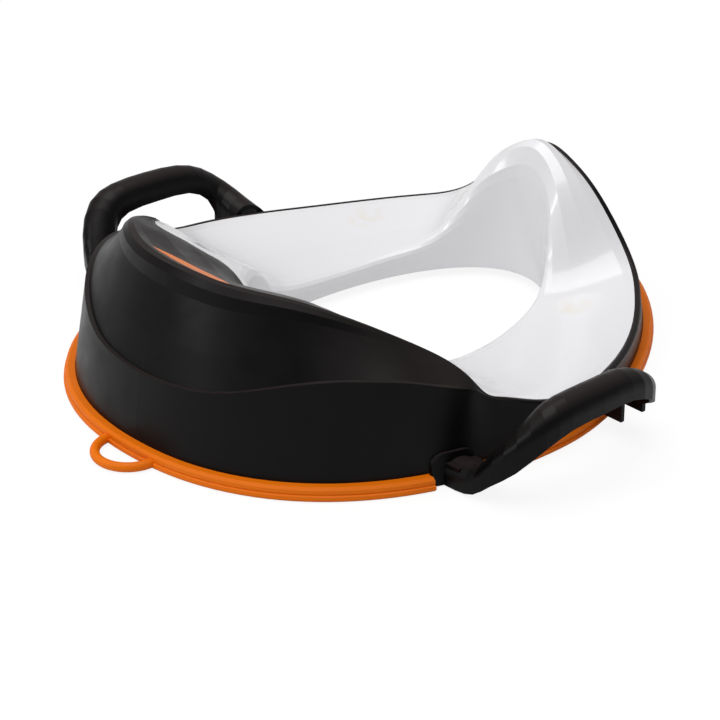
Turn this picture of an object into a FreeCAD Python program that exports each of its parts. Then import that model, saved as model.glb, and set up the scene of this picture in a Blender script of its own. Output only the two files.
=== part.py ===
import FreeCAD, Part
import math
import os
from FreeCAD import Placement, Rotation, Vector

# Potty training seat. Millimetres, +Z up, front (splash guard) towards -Y, backrest towards +Y.
# The origin lies under the middle of the seat, on the surface that it rests on.

doc = FreeCAD.newDocument("potty_training_seat")
sheet = doc.addObject("Spreadsheet::Sheet", "Sizes")
row_count = 0
counts = {}


def size(name, value):
    """Keep one driving dimension in the sheet under its own name."""
    global row_count
    row_count += 1
    sheet.set("A%d" % row_count, name)
    sheet.set("B%d" % row_count, str(value))
    sheet.setAlias("B%d" % row_count, name)


def sizes(name, values):
    """Keep a row of values, such as one for each station round the seat, named by their number."""
    counts[name] = len(values)
    for number, value in enumerate(values):
        size("%s_%d" % (name, number), value)


# Plan of the outer shell at the floor: an egg, squarer behind and narrower in front.
size("skirt_half_width", 151.5)
size("skirt_rear_reach", 175)
size("skirt_front_reach", 194)
size("rear_squareness", 2.2)
size("front_squareness", 1.68)
size("shell_wall", 2.8)

# Stations in degrees from the rear centre round to the front centre, the same on both sides.
STATION_ANGLES = (0, 16, 30, 42, 54, 62, 66.5, 69, 72, 76, 92, 120, 145, 157, 166, 180)
sizes("crest_height", (103, 101, 97.5, 88, 75, 65.5, 59.5, 54, 44.8, 40, 29.5, 25.5, 30, 42, 69, 88))
sizes("crest_inset", (31, 33, 35, 36, 33, 27, 19, 12.5, 7.2, 4.5, -3, -0.5, 5, 12, 28, 43))
sizes("pad_width", (61, 60, 48, 26, 3.5, 3, 2.5, 2.2, 2, 2, 2, 2, 2, 2, 2, 2))
sizes("pad_drop", (42, 35, 27, 17, 3, 1.5, 1, 0.5, 0.3, 0.3, 0.3, 0.3, 0.3, 0.3, 0.3, 0.3))
sizes("ledge_height", (47.5, 50.5, 60, 64, 61, 55.5, 52, 49.5, 43.5, 38.8, 28, 24, 28.5, 40.5, 67.5, 86.5))
sizes("ledge_inset", (5.5, 6.5, 9, 10, 8.5, 6.5, 5.5, 5.5, 6, 3.5, -4.5, -2, 3.5, 10.5, 26.5, 41.5))

size("ledge_step", 2.6)
size("front_edge_step", 0.7)
size("panel_bulge", 1.5)
size("crest_panel_share", 0.8)
size("crest_pad_share", 0.15)
size("pad_crown", 0.12)
size("seat_rebate_clearance", 0.3)
size("rebate_fillet", 2.5)
size("inside_knee_drop", 6)

# Seat shell: a glossy moulding with an egg-shaped opening and a turned-down lip. Its section
# goes from the edge in to the lip: shares of the width still to go, and of the height above it.
sizes("side_reach", (1.0, 0.93, 0.72, 0.45, 0.2, 0.06, 0.005, 0.0, 0.0))
sizes("side_rise", (1.0, 0.98, 0.88, 0.76, 0.68, 0.62, 0.48, 0.24, 0.0))
sizes("front_reach", (1.0, 0.78, 0.5, 0.22, 0.06, 0.01, 0.0, 0.0, 0.0))
sizes("front_rise", (1.0, 1.045, 1.06, 1.02, 0.89, 0.68, 0.45, 0.22, 0.0))
sizes("rear_reach", (1.0, 0.6, 0.3, 0.12, 0.05, 0.02, 0.0, 0.0, 0.0))
sizes("rear_rise", (1.0, 0.97, 0.88, 0.74, 0.6, 0.45, 0.3, 0.15, 0.0))
size("hole_half_width", 63.5)
size("hole_rear_reach", 75)
size("hole_front_reach", 131)
size("hole_squareness", 2.1)
size("lip_height", 5)
size("seat_wall", 2.4)

# Base trim: a rubbery ring with two beads round the foot of the skirt, and a hanging loop.
size("trim_height", 8)
size("trim_floor", 3)
size("trim_bead", 6)
size("trim_inner_lip", 3)
size("trim_clearance", 0.15)
size("bead_groove", 1)
size("bead_edge", 1.4)
size("bead_step", 0.5)
size("loop_radius", 19)
size("loop_wire_radius", 2.75)

# Handles: downward-open channels, plugged through the skirt at both ends. Sections from the rear
# root to the front one: place across and along, top, depth, and heading in degrees, where 0 points
# outwards, 90 forwards and 180 back inwards.
sizes("handle_across", (132, 150, 160, 168, 177, 184, 186, 186, 184.5, 182, 174, 160, 138))
sizes("handle_along", (67, 67, 66, 63.5, 58.5, 49.5, 36, 12, -12, -28, -37, -39, -39))
sizes("handle_top", (15, 16, 19, 30, 42, 53, 57, 57, 55, 49, 40, 33.5, 29))
sizes("handle_depth", (14, 15, 16, 19, 21, 18.5, 16, 15.5, 15, 17, 20, 21, 20))
sizes("handle_heading", (0, 0, 10, 22, 40, 66, 86, 90, 94, 112, 150, 178, 180))
size("handle_width", 20)
size("handle_wall", 2.6)
size("handle_clearance", 0.25)
size("front_leg_along", -39)
size("rear_leg_along", 67)
size("front_root_inner", 138)
size("root_inner", 132)
size("plate_floor", 11)
size("plate_depth", 14)
size("plate_end", 172)
size("form_depth", 6)
size("form_height", 60)
size("collar_floor", 1)
size("collar_top", 19)
size("collar_front_reach", 10.5)
size("collar_rear_reach", 16)
size("collar_corner", 8)
size("collar_stand", 2)
size("rear_wall_face", 145)
size("front_wall_face", 147)
size("rear_tongue_floor", 8.6)
size("front_tongue_floor", 18)
size("tongue_root", 6)
size("tongue_clearance", 0.2)
size("notch_length", 40)
size("notch_clearance", 1)
size("loop_set_back", 3.25)
size("tongue_height", 5)
size("tongue_width", 17)
size("tongue_reach", 9)
doc.recompute()


def val(name):
    return float(sheet.get(name))


def values_of(name):
    return [val("%s_%d" % (name, number)) for number in range(counts[name])]


def through(values, place):
    """Smooth curve through evenly spaced values, read at a place between two of them."""
    i = min(int(place), len(values) - 2)
    t = place - i
    before = values[i - 1] if i > 0 else 2 * values[0] - values[1]
    after = values[i + 2] if i + 2 < len(values) else 2 * values[-1] - values[-2]
    slope_in = (values[i + 1] - before) / 2
    slope_out = (after - values[i]) / 2
    return (
        values[i] * (1 + 2 * t) * (1 - t) ** 2
        + values[i + 1] * t * t * (3 - 2 * t)
        + slope_in * t * (1 - t) ** 2
        - slope_out * t * t * (1 - t)
    )


def smooth(values, angle):
    """Monotone cubic through the station values, level at the rear and front centres."""
    angle = abs((angle + 180) % 360 - 180)
    slopes = [0.0]
    for i in range(1, len(values) - 1):
        before = (values[i] - values[i - 1]) / (STATION_ANGLES[i] - STATION_ANGLES[i - 1])
        after = (values[i + 1] - values[i]) / (STATION_ANGLES[i + 1] - STATION_ANGLES[i])
        slopes.append(0.0 if before * after <= 0 else 2 * before * after / (before + after))
    slopes.append(0.0)
    i = 0
    while i < len(values) - 2 and angle > STATION_ANGLES[i + 1]:
        i += 1
    span = STATION_ANGLES[i + 1] - STATION_ANGLES[i]
    t = (angle - STATION_ANGLES[i]) / span
    return (
        values[i] * (1 + 2 * t) * (1 - t) ** 2
        + values[i + 1] * t * t * (3 - 2 * t)
        + slopes[i] * span * t * (1 - t) ** 2
        - slopes[i + 1] * span * t * t * (1 - t)
    )


def ramp(angle, start, end):
    """0 before start, 1 after end, in degrees from the rear centre."""
    angle = abs((angle + 180) % 360 - 180)
    t = min(1.0, max(0.0, (angle - start) / (end - start)))
    return t * t * (3 - 2 * t)


def egg(angle, half_width, rear, front, rear_power, front_power):
    """Distance from the origin to an egg-shaped outline at a polar angle from +Y."""
    across = abs(math.sin(math.radians(angle)))
    along = math.cos(math.radians(angle))
    power = rear_power if along >= 0 else front_power
    reach = rear if along >= 0 else front
    return ((across / half_width) ** power + (abs(along) / reach) ** power) ** (-1 / power)


def skirt_plan(angle):
    return egg(angle, val("skirt_half_width"), val("skirt_rear_reach"), val("skirt_front_reach"),
               val("rear_squareness"), val("front_squareness"))


def hole_plan(angle):
    power = val("hole_squareness")
    return egg(angle, val("hole_half_width"), val("hole_rear_reach"), val("hole_front_reach"),
               power, power)


# Every ring is fixed at the stations and at a few angles between them, on both sides.
HALF_ANGLES = sorted(STATION_ANGLES + (8, 48, 84, 106, 133, 173))
FLAT_WITHIN = 1e-6
RING_ANGLES = HALF_ANGLES + [360 - angle for angle in reversed(HALF_ANGLES[1:-1])]


def ring(profile_point):
    """Closed smooth curve round the seat: profile_point(angle) gives its radius and height."""
    points = []
    for angle in RING_ANGLES:
        radius, height = profile_point(angle)
        turn = math.radians(angle)
        points.append(Vector(radius * math.sin(turn), radius * math.cos(turn), height))
    curve = Part.BSplineCurve()
    parameters = [angle / 360 for angle in RING_ANGLES] + [1.0]
    curve.interpolate(Points=points, PeriodicFlag=True, Parameters=parameters)
    return Part.Wire([curve.toShape()])


def strip(lower, upper):
    """Flat face between two rings at one height, or a straight-sided one with its seam behind."""
    low = lower.BoundBox
    high = upper.BoundBox
    if max(low.ZMax, high.ZMax) - min(low.ZMin, high.ZMin) < FLAT_WITHIN:
        outside, inside = sorted((lower, upper), key=lambda wire: -wire.BoundBox.XLength)
        flat = Part.Face(outside)
        hole = Part.Face(inside)
        return flat.cut(hole).Faces[0]
    curves = [wire.Edges[0].Curve for wire in (lower, upper)]
    first = curves[0]
    poles = [[curve.getPole(i + 1) for curve in curves] for i in range(first.NbPoles)]
    surface = Part.BSplineSurface()
    surface.buildFromPolesMultsKnots(
        poles, first.getMultiplicities(), [2, 2], first.getKnots(), [0.0, 1.0],
        True, False, first.Degree, 1)
    return surface.toShape()


def solid_of(faces):
    shell = Part.makeShell(faces)
    shell.sewShape()
    solid = Part.makeSolid(shell)
    if solid.Volume < 0:
        solid.reverse()
    return solid


def ring_solid(rings):
    """Solid ring whose section's corners are the given rings, in order round the section."""
    return solid_of([strip(rings[i - 1], rings[i]) for i in range(len(rings))])


tables = {name: values_of(name) for name in
          ("crest_height", "crest_inset", "pad_width", "pad_drop", "ledge_height",
           "ledge_inset")}


def table(name, angle):
    return smooth(tables[name], angle)


def rear_share(angle):
    """1 where the backrest's panel stands above the ledge, 0 along the sides and front."""
    return 1 - ramp(angle, 60, 80)


# Points of the outer shell's section at one angle, from the foot up and over to the seat.
def band_radius(angle, height):
    """Outside of the skirt's lower band, straight from the floor to the ledge at every angle."""
    lean = table("ledge_inset", angle) / table("ledge_height", angle)
    return skirt_plan(angle) - lean * height


def foot(angle):
    return band_radius(angle, val("trim_floor")), val("trim_floor")


def ledge(angle):
    height = table("ledge_height", angle)
    return band_radius(angle, height), height


def ledge_inner(angle):
    radius, height = ledge(angle)
    share = rear_share(angle)
    step = share * val("ledge_step") + (1 - share) * val("front_edge_step")
    return radius - step, height + (1 - share) * 0.7 * (table("crest_height", angle) - height)


def crest(angle):
    return skirt_plan(angle) - table("crest_inset", angle), table("crest_height", angle)


def pad_edge(angle):
    radius, height = crest(angle)
    return radius - table("pad_width", angle), height - table("pad_drop", angle)


# Share of the way up the panel below the crest's rounding, round it, and down the pad after it.
PANEL_SHARES = (0.0, 0.35, 0.65)
ROUND_SHARES = (0.0, 0.25, 0.5, 0.75, 1.0)
PAD_SHARES = (0.4, 0.7, 1.0)
OVER_RINGS = len(PANEL_SHARES) + len(ROUND_SHARES) + len(PAD_SHARES)


def panel_point(angle, part_way):
    """Point up the backrest's outer panel, which swells a little between ledge and crest."""
    low_radius, low_height = ledge_inner(angle)
    high_radius, high_height = crest(angle)
    rise = high_height - low_height
    swell = 4 * part_way * (1 - part_way) * val("panel_bulge") * rise / val("crest_height_0")
    return low_radius + part_way * (high_radius - low_radius) + swell, low_height + part_way * rise


def pad_point(angle, part_way):
    """Point down the backrest's pad, from the crest to the edge of the seat shell."""
    high_radius, high_height = crest(angle)
    low_radius, low_height = pad_edge(angle)
    crown = val("pad_crown") * table("pad_drop", angle) * 4 * part_way * (1 - part_way)
    return (high_radius + part_way * (low_radius - high_radius),
            high_height + part_way * (low_height - high_height) + crown)


def backrest_point(angle, number):
    """Point on the backrest's section: up the panel, round the crest and down the pad."""
    if number < len(PANEL_SHARES):
        return panel_point(angle, PANEL_SHARES[number])
    number -= len(PANEL_SHARES)
    if number >= len(ROUND_SHARES):
        return pad_point(angle, PAD_SHARES[number - len(ROUND_SHARES)])
    start = panel_point(angle, val("crest_panel_share"))
    end = pad_point(angle, val("crest_pad_share"))
    top = crest(angle)
    t = ROUND_SHARES[number]
    point = []
    for i in (0, 1):
        corner = 2 * top[i] - (start[i] + end[i]) / 2
        point.append(start[i] * (1 - t) ** 2 + 2 * corner * t * (1 - t) + end[i] * t * t)
    return point


def rim_point(angle, number):
    """Point on the plain rim along the sides and front, a shallow arch as high as the crest."""
    start = ledge_inner(angle)
    end = pad_edge(angle)
    part_way = number / (OVER_RINGS - 1)
    arch = 4 * part_way * (1 - part_way) * (crest(angle)[1] - (start[1] + end[1]) / 2)
    return (start[0] + part_way * (end[0] - start[0]),
            start[1] + part_way * (end[1] - start[1]) + arch)


def over_point(angle, number):
    share = rear_share(angle)
    behind = backrest_point(angle, number)
    beside = rim_point(angle, number)
    return [share * behind[i] + (1 - share) * beside[i] for i in (0, 1)]


# Points of the seat shell's section, from its outer edge in to the lip of the opening. The
# rings lie closer together where the section turns down into the lip.
SEAT_PLACES = (0, 1, 2, 3, 4, 4.5, 5, 5.5, 6, 6.6, 7.3, 8)
seat_sections = {name: values_of(name) for name in
                 ("side_reach", "side_rise", "front_reach", "front_rise", "rear_reach", "rear_rise")}


def seat_edge(angle):
    radius, height = pad_edge(angle)
    return radius - val("seat_rebate_clearance"), height


def seat_point(angle, place):
    """Point on the seat's top at a place from 0 at its outer edge to 8 at the lip's foot."""
    front_share = ramp(angle, 145, 172)
    back_share = 1 - ramp(angle, 20, 62)
    shares = (("side", 1 - front_share - back_share), ("front", front_share), ("rear", back_share))
    reach = sum(share * through(seat_sections[name + "_reach"], place) for name, share in shares)
    rise = sum(share * through(seat_sections[name + "_rise"], place) for name, share in shares)
    edge_radius, edge_height = seat_edge(angle)
    inner_radius = hole_plan(angle)
    lip = val("lip_height")
    return inner_radius + reach * (edge_radius - inner_radius), lip + rise * (edge_height - lip)


def seat_under(angle, place, depth):
    """The seat's underside: its section moved in by a depth at right angles."""
    radius, height = seat_point(angle, place)
    if place == 0:
        return radius, height - depth
    if place == SEAT_PLACES[-1]:
        return radius + depth, height
    before = seat_point(angle, place - 0.25)
    after = seat_point(angle, place + 0.25)
    run = after[0] - before[0]
    fall = after[1] - before[1]
    length = math.hypot(run, fall)
    return radius - fall / length * depth, height + run / length * depth


def make_seat_shell():
    wall = val("seat_wall")
    top = [ring(lambda a, n=n: seat_point(a, n)) for n in SEAT_PLACES]
    under = [ring(lambda a, n=n: seat_under(a, n, wall)) for n in reversed(SEAT_PLACES)]
    return ring_solid(top + under)


def rebate_outer(angle):
    radius, height = pad_edge(angle)
    return radius, height - val("seat_wall") - val("seat_rebate_clearance")


def rebate_inner(angle):
    return seat_under(angle, 1, val("seat_wall") + val("seat_rebate_clearance"))


def rebate_under(angle):
    return seat_under(angle, 1, val("seat_wall") + val("seat_rebate_clearance") + val("shell_wall"))


def inside_ledge(angle):
    """Inside of the skirt, level with the ledge behind and just under the rebate elsewhere."""
    share = rear_share(angle)
    under_rebate = rebate_outer(angle)[1] - val("shell_wall") - val("rebate_fillet")
    height = share * (ledge(angle)[1] - val("ledge_step")) + (1 - share) * under_rebate
    step = share * val("ledge_step")
    return band_radius(angle, height) - step - val("shell_wall"), height


def inside_knee(angle):
    """Below the ledge's step the inside runs parallel to the lower band."""
    height = inside_ledge(angle)[1] - val("inside_knee_drop")
    return band_radius(angle, height) - val("shell_wall"), height


def inside_point(angle, number):
    """Inside of the backrest opposite one of its outer rings, or of the plain edge elsewhere."""
    before = over_point(angle, number - 1)
    here = over_point(angle, number)
    after = over_point(angle, number + 1)
    run = after[0] - before[0]
    rise = after[1] - before[1]
    length = math.hypot(run, rise)
    wall = val("shell_wall")
    behind = (here[0] + rise / length * wall * -1, here[1] + run / length * wall)
    start = rebate_under(angle)
    end = inside_ledge(angle)
    corner = (end[0], rebate_outer(angle)[1] - wall)
    t = (OVER_RINGS - 1 - number) / (OVER_RINGS - 1)
    bend = [start[i] * (1 - t) ** 2 + 2 * corner[i] * t * (1 - t) + end[i] * t * t for i in (0, 1)]
    share = 1 - ramp(angle, 42, 56)
    return [share * behind[i] + (1 - share) * bend[i] for i in (0, 1)]


def inside_foot(angle):
    radius, height = foot(angle)
    return radius - val("shell_wall"), height


def make_outer_shell():
    over = [ring(lambda a, n=n: over_point(a, n)) for n in range(OVER_RINGS)]
    opposite = [OVER_RINGS - 2, OVER_RINGS - 3, len(PANEL_SHARES) + 2, len(PANEL_SHARES) - 1, 1]
    inside = [ring(lambda a, n=n: inside_point(a, n)) for n in opposite]
    return ring_solid(
        [ring(foot), ring(ledge)] + over
        + [ring(rebate_outer), ring(rebate_inner), ring(rebate_under)] + inside
        + [ring(inside_ledge), ring(inside_knee), ring(inside_foot)])


def trim_point(outward, height):
    return ring(lambda a: (band_radius(a, height) + outward, height))


def make_trim_ring():
    clearance = val("trim_clearance")
    bead = val("trim_bead")
    upper = bead - val("bead_step")
    edge = val("bead_edge")
    top = val("trim_height")
    middle = top / 2
    slot_outer = clearance
    slot_inner = -val("shell_wall") - clearance
    slot_floor = val("trim_floor") - clearance
    inner = slot_inner - val("trim_inner_lip")
    return ring_solid([
        trim_point(inner, 0),
        trim_point(bead - edge, 0),
        trim_point(bead, edge),
        trim_point(bead, middle - edge / 2),
        trim_point(bead - val("bead_groove"), middle),
        trim_point(upper, middle + edge / 2),
        trim_point(upper, top - edge),
        trim_point(upper - edge, top),
        trim_point(slot_outer, top),
        trim_point(slot_outer, slot_floor),
        trim_point(slot_inner, slot_floor),
        trim_point(slot_inner, top),
        trim_point(inner, top),
    ])


def make_skirt_form(gap):
    """Solid form of the skirt's outside with a gap all round, from below the floor to the ledge."""
    heights = (-val("form_depth"), val("form_height"))
    rings = [ring(lambda a, z=z: (band_radius(a, z) + gap, z)) for z in heights]
    return solid_of([strip(*rings)] + [Part.Face(wire) for wire in rings])


def feature(label, shape):
    item = doc.addObject("Part::Feature", label)
    item.Label = label
    item.Shape = shape
    item.Placement = Placement()
    return item


def arch_wire(across, along, top, depth, heading, width, drop):
    """Section of the handle: straight sides under a round top, in a vertical plane."""
    turn = math.radians(heading)
    side = Vector(math.sin(turn), math.cos(turn), 0)
    base = Vector(across, along, 0)
    half = width / 2
    crown = top - drop
    low = top - depth
    corners = [base + side * half + Vector(0, 0, low),
               base + side * half + Vector(0, 0, crown - half),
               base + Vector(0, 0, crown),
               base - side * half + Vector(0, 0, crown - half),
               base - side * half + Vector(0, 0, low)]
    return Part.Wire([
        Part.makeLine(corners[4], corners[0]),
        Part.makeLine(corners[0], corners[1]),
        Part.Arc(corners[1], corners[2], corners[3]).toShape(),
        Part.makeLine(corners[3], corners[4]),
    ])


handle_columns = [values_of("handle_" + name)
                  for name in ("across", "along", "top", "depth", "heading")]


def make_handle_channel():
    """Outer form of the channel less its hollow, which runs out through the open underside."""
    width = val("handle_width")
    wall = val("handle_wall")
    outer = []
    hollow = []
    for half_step in range(2 * len(handle_columns[0]) - 1):
        across, along, top, depth, heading = [through(c, half_step / 2) for c in handle_columns]
        outer.append(arch_wire(across, along, top, depth, heading, width, 0))
        hollow.append(arch_wire(across, along, top, depth + wall, heading, width - 2 * wall, wall))
    return Part.makeLoft(outer, True, True).cut(Part.makeLoft(hollow, True, True))


def make_collar():
    """Round-cornered pad that lies on the skirt round the rear root of the left handle."""
    low = val("collar_floor")
    high = val("collar_top")
    front = val("rear_leg_along") - val("collar_front_reach")
    rear = val("rear_leg_along") + val("collar_rear_reach")
    corner = val("collar_corner")
    start = val("root_inner")
    slant = corner * (1 - math.sqrt(0.5))

    def at(along, height):
        return Vector(start, along, height)

    outline = Part.Wire([
        Part.makeLine(at(front, low), at(rear, low)),
        Part.makeLine(at(rear, low), at(rear, high - corner)),
        Part.Arc(at(rear, high - corner), at(rear - slant, high - slant), at(rear - corner, high)).toShape(),
        Part.makeLine(at(rear - corner, high), at(front + corner, high)),
        Part.Arc(at(front + corner, high), at(front + slant, high - slant), at(front, high - corner)).toShape(),
        Part.makeLine(at(front, high - corner), at(front, low)),
    ])
    block = Part.Face(outline).extrude(Vector(val("front_root_inner") - start + corner * 2, 0, 0))
    return block.common(make_skirt_form(val("handle_clearance") + val("collar_stand")))


def box(label, corner, lengths):
    """Part::Box whose corner and lengths are expressions in the sheet's sizes."""
    item = doc.addObject("Part::Box", label)
    item.Label = label
    for name, text in zip(("Length", "Width", "Height"), lengths):
        item.setExpression(name, text)
    for name, text in zip(("x", "y", "z"), corner):
        item.setExpression("Placement.Base." + name, text)
    return item


def boolean(kind, label, base, tool):
    item = doc.addObject(kind, label)
    item.Label = label
    item.Base = base
    item.Tool = tool
    return item


def fuse(label, shapes):
    item = doc.addObject("Part::MultiFuse", label)
    item.Label = label
    item.Shapes = shapes
    return item


skirt_form = feature("skirt_form", make_skirt_form(val("handle_clearance")))

# The left handle, at +X: channel, two deep plates on the front leg, root collars and tongues.
channel = feature("handle_channel", make_handle_channel())
front_plate = box(
    "front_plate",
    ("Sizes.front_root_inner", "Sizes.front_leg_along - Sizes.handle_width / 2", "Sizes.plate_floor"),
    ("Sizes.plate_end - Sizes.front_root_inner", "Sizes.handle_wall", "Sizes.plate_depth"))
rear_plate = box(
    "rear_plate",
    ("Sizes.front_root_inner", "Sizes.front_leg_along + Sizes.handle_width / 2 - Sizes.handle_wall",
     "Sizes.plate_floor"),
    ("Sizes.plate_end - Sizes.front_root_inner", "Sizes.handle_wall", "Sizes.plate_depth"))
rear_collar = feature("rear_collar", make_collar())
handle_whole = fuse("handle_whole", [channel, front_plate, rear_plate, rear_collar])
handle_seated = boolean("Part::Cut", "handle_seated", handle_whole, skirt_form)


def tongue_box(label, root, side, gap):
    """Tongue through the skirt at one root, or with a gap the slot that it passes through."""
    start = "Sizes.%s_wall_face - Sizes.tongue_reach - %s" % (root, gap)
    if side < 0:
        start = "-Sizes.%s_wall_face - Sizes.tongue_root - %s" % (root, gap)
    return box(
        label,
        (start, "Sizes.%s_leg_along - Sizes.tongue_width / 2 - %s" % (root, gap),
         "Sizes.%s_tongue_floor - %s" % (root, gap)),
        ("Sizes.tongue_reach + Sizes.tongue_root + 2 * %s" % gap,
         "Sizes.tongue_width + 2 * %s" % gap, "Sizes.tongue_height + 2 * %s" % gap))


rear_tongue = tongue_box("rear_tongue", "rear", 1, "0")
front_tongue = tongue_box("front_tongue", "front", 1, "0")
handle_left = fuse("handle_left", [handle_seated, rear_tongue, front_tongue])
handle_right = doc.addObject("Part::Mirroring", "handle_right")
handle_right.Label = "handle_right"
handle_right.Source = handle_left
handle_right.Normal = Vector(1, 0, 0)
handle_right.Base = Vector(0, 0, 0)


windows = [tongue_box("%s_window_%s" % (root, side_name), root, side, "Sizes.tongue_clearance")
           for root in ("rear", "front") for side_name, side in (("left", 1), ("right", -1))]
shell_blank = feature("shell_blank", make_outer_shell())
outer_shell = boolean("Part::Cut", "outer_shell", shell_blank, fuse("windows", windows))

seat_shell = feature("seat_shell", make_seat_shell())

# Base trim: the ring gives way to the rear root of each handle, and carries the loop behind.
trim_ring = feature("trim_ring", make_trim_ring())
loop = doc.addObject("Part::Torus", "hanging_loop")
loop.Label = "hanging_loop"
loop.setExpression("Radius1", "Sizes.loop_radius")
loop.setExpression("Radius2", "Sizes.loop_wire_radius")
loop.Angle3 = 180
loop.setExpression("Placement.Base.y", "Sizes.skirt_rear_reach + Sizes.loop_set_back")
loop.setExpression("Placement.Base.z", "Sizes.loop_wire_radius")
notches = []
for side_name, side in (("left", 1), ("right", -1)):
    start = "Sizes.root_inner" if side > 0 else "-Sizes.root_inner - Sizes.notch_length"
    notches.append(box(
        "notch_" + side_name,
        (start, "Sizes.rear_leg_along - Sizes.collar_front_reach - Sizes.notch_clearance", "-1"),
        ("Sizes.notch_length",
         "Sizes.collar_front_reach + Sizes.collar_rear_reach + 2 * Sizes.notch_clearance",
         "Sizes.trim_height + 2")))
notch_tool = boolean("Part::Cut", "notch_tool", fuse("notches", notches), skirt_form)
notched_ring = boolean("Part::Cut", "notched_ring", trim_ring, notch_tool)
base_trim = fuse("base_trim", [notched_ring, loop])

doc.recompute()

kept = [outer_shell, seat_shell, base_trim, handle_left, handle_right]
for item in doc.Objects:
    if "Invalid" in item.State or "Error" in item.State:
        raise RuntimeError("%s did not build" % item.Label)
for item in kept:
    if item.Shape.isNull() or not item.Shape.isValid():
        raise RuntimeError("%s has no sound shape" % item.Label)
    if len(item.Shape.Solids) != 1:
        raise RuntimeError("%s has %d solids" % (item.Label, len(item.Shape.Solids)))
    print(item.Label, len(item.Shape.Faces), round(item.Shape.Volume))

os.makedirs("parts", exist_ok=True)
for item in kept:
    item.Shape.exportStep("parts/%s.step" % item.Label)
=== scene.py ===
import math

import bpy
from mathutils import Matrix, Vector


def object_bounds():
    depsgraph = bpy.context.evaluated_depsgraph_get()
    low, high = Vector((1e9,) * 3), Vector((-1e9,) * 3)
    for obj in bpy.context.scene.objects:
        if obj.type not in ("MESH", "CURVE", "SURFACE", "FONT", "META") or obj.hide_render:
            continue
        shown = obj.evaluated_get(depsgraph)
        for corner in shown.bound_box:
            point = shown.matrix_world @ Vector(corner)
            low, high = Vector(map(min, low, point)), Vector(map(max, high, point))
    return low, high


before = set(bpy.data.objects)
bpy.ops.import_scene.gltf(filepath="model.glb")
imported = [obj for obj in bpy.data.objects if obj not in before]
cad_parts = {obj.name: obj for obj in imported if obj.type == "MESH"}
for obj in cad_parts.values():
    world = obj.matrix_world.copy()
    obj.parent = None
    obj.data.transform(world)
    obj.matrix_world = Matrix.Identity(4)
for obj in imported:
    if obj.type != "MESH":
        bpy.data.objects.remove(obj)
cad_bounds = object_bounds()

# Potty training seat. Metres, +Z up, backrest towards +Y, splash guard towards -Y.

# Camera at the photograph's angle; lengths in metres.
CAMERA_TURN = math.radians(227)
CAMERA_TILT = math.radians(27.8)
CAMERA_AWAY = 1.6
CAMERA_LENS = 136.75
CAMERA_SENSOR = 36
CAMERA_SIDE = -0.00468
CAMERA_LIFT = -0.00527


def add_camera():
    right = Vector((math.cos(CAMERA_TURN), math.sin(CAMERA_TURN), 0))
    back = Vector((math.sin(CAMERA_TURN) * math.cos(CAMERA_TILT),
                   -math.cos(CAMERA_TURN) * math.cos(CAMERA_TILT), math.sin(CAMERA_TILT)))
    up = back.cross(right)
    data = bpy.data.cameras.new("camera")
    data.lens = CAMERA_LENS
    data.sensor_width = CAMERA_SENSOR
    camera = bpy.data.objects.new("camera", data)
    turn = Matrix((right, up, back)).transposed().to_4x4()
    camera.matrix_world = Matrix.Translation(
        right * CAMERA_SIDE + up * CAMERA_LIFT + back * CAMERA_AWAY) @ turn
    bpy.context.collection.objects.link(camera)
    bpy.context.scene.camera = camera


# Plain mark on the pad, seen from above: middle, half length, bow towards the front, half width.
PAD_MARK_CENTRE = (0.0, 0.131)
PAD_MARK_HALF_LENGTH = 0.034
PAD_MARK_SAG = 0.004
PAD_MARK_HALF_WIDTH = 0.0055
# Place, reach and strength of each scuff on the seat.
SCUFFS = (((0.0993, -0.0904, 0.0242), 0.014, 0.9), ((-0.0724, -0.0957, 0.0232), 0.013, 0.8))


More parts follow.
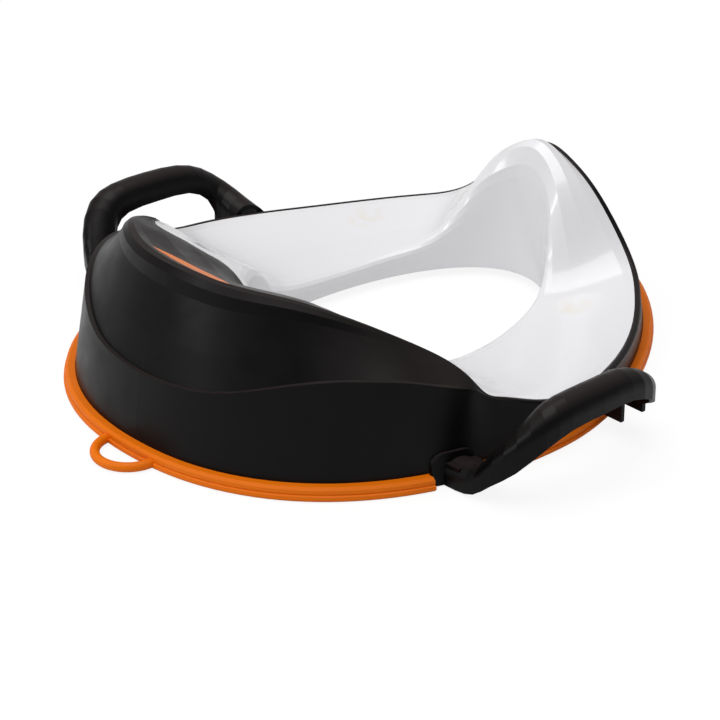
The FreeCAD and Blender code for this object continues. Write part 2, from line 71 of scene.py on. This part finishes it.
class Shader:
    """A node material with short calls for the nodes that this scene needs."""

    def __init__(self, name):
        self.material = bpy.data.materials.new(name)
        self.material.use_nodes = True
        self.nodes = self.material.node_tree.nodes
        self.links = self.material.node_tree.links
        self.shader = self.nodes["Principled BSDF"]
        self.place = self.nodes.new("ShaderNodeTexCoord").outputs["Object"]

    def link(self, start, end):
        self.links.new(start, end)

    def noise(self, scale, detail=3.0, roughness=0.5):
        node = self.nodes.new("ShaderNodeTexNoise")
        node.inputs["Scale"].default_value = scale
        node.inputs["Detail"].default_value = detail
        node.inputs["Roughness"].default_value = roughness
        self.link(self.place, node.inputs["Vector"])
        return node.outputs["Fac"]

    def spread(self, value, low, high, to_low=0.0, to_high=1.0):
        node = self.nodes.new("ShaderNodeMapRange")
        node.inputs["From Min"].default_value = low
        node.inputs["From Max"].default_value = high
        node.inputs["To Min"].default_value = to_low
        node.inputs["To Max"].default_value = to_high
        self.link(value, node.inputs["Value"])
        return node.outputs["Result"]

    def math(self, operation, first, second=None):
        node = self.nodes.new("ShaderNodeMath")
        node.operation = operation
        for socket, value in zip(node.inputs, (first, second)):
            if value is None:
                continue
            if isinstance(value, (int, float)):
                socket.default_value = value
            else:
                self.link(value, socket)
        return node.outputs["Value"]

    def mix(self, share, first, second):
        node = self.nodes.new("ShaderNodeMix")
        node.data_type = "RGBA"
        self.link(share, node.inputs["Factor"])
        for socket, value in ((node.inputs["A"], first), (node.inputs["B"], second)):
            if isinstance(value, tuple):
                socket.default_value = (*value, 1.0)
            else:
                self.link(value, socket)
        return node.outputs["Result"]

    def bump(self, height, strength, distance):
        node = self.nodes.new("ShaderNodeBump")
        node.inputs["Strength"].default_value = strength
        node.inputs["Distance"].default_value = distance
        self.link(height, node.inputs["Height"])
        self.link(node.outputs["Normal"], self.shader.inputs["Normal"])

    def facing_up(self):
        node = self.nodes.new("ShaderNodeSeparateXYZ")
        self.link(self.nodes.new("ShaderNodeNewGeometry").outputs["Normal"], node.inputs["Vector"])
        return node.outputs["Z"]

    def away(self, place):
        node = self.nodes.new("ShaderNodeVectorMath")
        node.operation = "DISTANCE"
        node.inputs[1].default_value = place
        self.link(self.place, node.inputs[0])
        return node.outputs["Value"]

    def plan(self):
        node = self.nodes.new("ShaderNodeSeparateXYZ")
        self.link(self.place, node.inputs["Vector"])
        return node.outputs["X"], node.outputs["Y"]


def matte_black(name):
    """Dark fine-textured plastic with a painted top light: paler and browner where it faces up, in noisy
    patches.
    """
    s = Shader(name)
    s.shader.inputs["Specular IOR Level"].default_value = 0.13
    cloud = s.noise(14, 4)
    deep = s.mix(cloud, (0.0012, 0.0010, 0.0013), (0.0030, 0.0026, 0.0029))
    patches = s.spread(s.noise(22, 5), 0.25, 0.75, 0.7, 1.0)
    # painted top light: up-facing surfaces are painted paler and browner in noisy patches, standing in
    # for the sheen that light from above gives
    painted_top_light = s.math("MULTIPLY", s.spread(s.facing_up(), 0.55, 0.97), patches)
    s.colour = s.mix(painted_top_light, deep, (0.0215, 0.0160, 0.0150))
    s.link(s.colour, s.shader.inputs["Base Color"])
    s.link(s.spread(s.noise(60, 4), 0.3, 0.7, 0.30, 0.42), s.shader.inputs["Roughness"])
    s.bump(s.noise(2600, 2), 0.25, 0.00008)
    return s


def add_pad_mark(s):
    """Slim plain orange lens across the middle of the backrest's pad."""
    x, y = s.plan()
    along = s.math("DIVIDE", s.math("SUBTRACT", x, PAD_MARK_CENTRE[0]), PAD_MARK_HALF_LENGTH)
    taper = s.math("SUBTRACT", 1.0, s.math("MULTIPLY", along, along))
    middle = s.math("SUBTRACT", PAD_MARK_CENTRE[1], s.math("MULTIPLY", taper, PAD_MARK_SAG))
    across = s.math("ABSOLUTE", s.math("SUBTRACT", y, middle))
    inside = s.math("SUBTRACT", s.math("MULTIPLY", taper, PAD_MARK_HALF_WIDTH), across)
    share = s.math("MULTIPLY", s.spread(inside, 0.0, 0.0003), s.spread(s.facing_up(), 0.2, 0.3))
    s.link(s.mix(share, s.colour, (0.80, 0.215, 0.045)), s.shader.inputs["Base Color"])


def gloss_white():
    """Bright glossy plastic with two faint yellowish scuffs."""
    s = Shader("gloss_white")
    s.shader.inputs["Specular IOR Level"].default_value = 0.5
    s.shader.inputs["Coat Weight"].default_value = 0.3
    s.shader.inputs["Coat Roughness"].default_value = 0.04
    plain = s.mix(s.noise(9, 3), (0.79, 0.78, 0.80), (0.83, 0.825, 0.84))
    share = None
    for place, reach, weight in SCUFFS:
        spot = s.math("MULTIPLY", s.spread(s.away(place), reach, 0.0), weight)
        share = spot if share is None else s.math("ADD", share, spot)
    share = s.math("MULTIPLY", share, s.spread(s.noise(120, 5), 0.42, 0.62))
    s.link(s.mix(share, plain, (0.78, 0.72, 0.60)), s.shader.inputs["Base Color"])
    s.link(s.spread(s.noise(90, 4), 0.3, 0.7, 0.2, 0.24), s.shader.inputs["Roughness"])
    s.bump(s.noise(700, 2), 0.05, 0.00005)
    return s.material


def orange_rubber():
    s = Shader("orange_rubber")
    s.shader.inputs["Specular IOR Level"].default_value = 0.16
    colour = s.mix(s.noise(30, 4), (0.74, 0.150, 0.0004), (0.84, 0.180, 0.0008))
    s.link(colour, s.shader.inputs["Base Color"])
    s.link(s.spread(s.noise(80, 3), 0.3, 0.7, 0.42, 0.56), s.shader.inputs["Roughness"])
    s.bump(s.noise(1800, 2), 0.2, 0.00006)
    return s.material


def dress(node, material):
    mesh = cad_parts[node].data
    for slot in range(len(mesh.materials)):
        mesh.materials[slot] = material
    if not mesh.materials:
        mesh.materials.append(material)


FLOOR_GREY = 0.8
FLOOR_GLOW = 1.05
FLOOR_GLOW_SHARE = 0.85
FLOOR_DROP = 0.0002


def add_floor():
    bpy.ops.mesh.primitive_plane_add(size=12, location=(0, 0, cad_bounds[0][2] - FLOOR_DROP))
    floor = bpy.context.object
    floor.name = "floor"
    material = bpy.data.materials.new("floor_white")
    material.use_nodes = True
    nodes = material.node_tree.nodes
    links = material.node_tree.links
    output = nodes["Material Output"]
    nodes["Principled BSDF"].inputs["Base Color"].default_value = (FLOOR_GREY, FLOOR_GREY, FLOOR_GREY, 1)
    nodes["Principled BSDF"].inputs["Roughness"].default_value = 0.9
    glow = nodes.new("ShaderNodeEmission")
    glow.inputs["Strength"].default_value = FLOOR_GLOW
    path = nodes.new("ShaderNodeLightPath")
    share = nodes.new("ShaderNodeMath")
    share.operation = "MULTIPLY"
    share.inputs[1].default_value = FLOOR_GLOW_SHARE
    links.new(path.outputs["Is Camera Ray"], share.inputs[0])
    blend = nodes.new("ShaderNodeMixShader")
    links.new(share.outputs[0], blend.inputs[0])
    links.new(nodes["Principled BSDF"].outputs[0], blend.inputs[1])
    links.new(glow.outputs[0], blend.inputs[2])
    links.new(blend.outputs[0], output.inputs["Surface"])
    floor.data.materials.append(material)


def add_lamp(name, place, target, size, power):
    data = bpy.data.lights.new(name, "AREA")
    data.shape = "RECTANGLE"
    data.size, data.size_y = size
    data.energy = power
    lamp = bpy.data.objects.new(name, data)
    lamp.location = place
    lamp.rotation_euler = (Vector(target) - Vector(place)).to_track_quat("-Z", "Y").to_euler()
    bpy.context.collection.objects.link(lamp)


def add_world(strength):
    world = bpy.data.worlds.new("studio")
    bpy.context.scene.world = world
    world.use_nodes = True
    nodes = world.node_tree.nodes
    links = world.node_tree.links
    back = nodes["Background"]
    back.inputs["Color"].default_value = (1, 1, 1, 1)
    path = nodes.new("ShaderNodeLightPath")
    level = nodes.new("ShaderNodeMapRange")
    level.inputs["To Min"].default_value = strength
    level.inputs["To Max"].default_value = 1.0
    links.new(path.outputs["Is Camera Ray"], level.inputs["Value"])
    links.new(level.outputs["Result"], back.inputs["Strength"])


bpy.context.scene.view_settings.view_transform = "Standard"
add_camera()
add_floor()
add_world(0.36)
add_lamp("overhead", (0.1, 0.2, 1.9), (0, 0, 0), (1.8, 1.8), 28)
add_lamp("window_left", (0.6, 1.6, 0.9), (0, 0, 0.05), (0.4, 1.0), 8)

shell_black = matte_black("shell_black")
add_pad_mark(shell_black)
dress("outer_shell", shell_black.material)
handle_black = matte_black("handle_black").material
dress("handle_left", handle_black)
dress("handle_right", handle_black)
dress("seat_shell", gloss_white())
dress("base_trim", orange_rubber())
